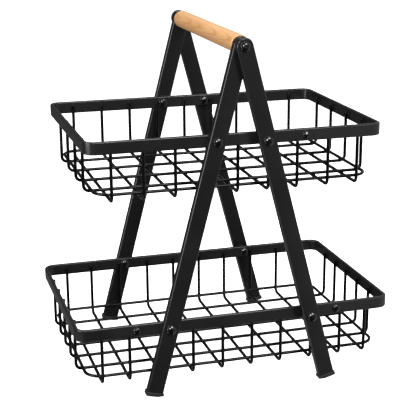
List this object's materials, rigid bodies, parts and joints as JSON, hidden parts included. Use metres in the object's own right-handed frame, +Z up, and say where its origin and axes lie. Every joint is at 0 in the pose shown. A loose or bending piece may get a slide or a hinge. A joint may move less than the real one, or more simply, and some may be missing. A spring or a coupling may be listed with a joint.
{
  "type": "tiered wire basket",
  "caption": "Tiered stand of black wire baskets with flat strip rims, screwed between a front and a back A-frame of flat tube legs and carried by a round wooden handle.",
  "frame": {"origin": "on the floor, at the centre of the object's plan", "axes": "+X along the long side of the baskets, to the right as seen from the front; +Y from front to back, along the handle; +Z up"},
  "size_m": [0.4, 0.298, 0.429],
  "materials": {
    "leg_coat": "satin black powder coat",
    "rim_coat": "satin black powder coat",
    "wire_coat": "black powder coat",
    "screw_black": "gloss black",
    "foot_plastic": "satin moulded",
    "spacer_nylon": "matte",
    "beech": "clear satin lacquer",
    "insert_brass": "plain"
  },
  "bodies": {
    "root": {"upper_rim": "rim_coat", "upper_cross_wire_1": "wire_coat", "upper_cross_wire_2": "wire_coat", "upper_cross_wire_3": "wire_coat", "upper_cross_wire_4": "wire_coat", "upper_cross_wire_5": "wire_coat", "upper_cross_wire_6": "wire_coat", "upper_cross_wire_7": "wire_coat", "upper_cross_wire_8": "wire_coat", "upper_cross_wire_9": "wire_coat", "upper_long_wire_1": "wire_coat", "upper_long_wire_2": "wire_coat", "upper_long_wire_3": "wire_coat", "upper_long_wire_4": "wire_coat", "upper_base_ring": "wire_coat", "upper_leg_screws": "screw_black", "upper_sleeve_nuts": "screw_black", "lower_rim": "rim_coat", "lower_cross_wire_1": "wire_coat", "lower_cross_wire_2": "wire_coat", "lower_cross_wire_3": "wire_coat", "lower_cross_wire_4": "wire_coat", "lower_cross_wire_5": "wire_coat", "lower_cross_wire_6": "wire_coat", "lower_cross_wire_7": "wire_coat", "lower_cross_wire_8": "wire_coat", "lower_cross_wire_9": "wire_coat", "lower_cross_wire_10": "wire_coat", "lower_long_wire_1": "wire_coat", "lower_long_wire_2": "wire_coat", "lower_long_wire_3": "wire_coat", "lower_long_wire_4": "wire_coat", "lower_long_wire_5": "wire_coat", "lower_base_ring": "wire_coat", "lower_leg_screws": "screw_black", "lower_sleeve_nuts": "screw_black", "front_left_leg": "leg_coat", "front_left_foot": "foot_plastic", "front_right_leg": "leg_coat", "front_right_foot": "foot_plastic", "back_left_leg": "leg_coat", "back_left_foot": "foot_plastic", "back_right_leg": "leg_coat", "back_right_foot": "foot_plastic", "leg_spacers": "spacer_nylon", "spare_screws": "screw_black", "spare_nuts": "screw_black", "handle": "beech", "handle_inserts": "insert_brass", "handle_screws": "screw_black"}
  },
  "joints": []
}
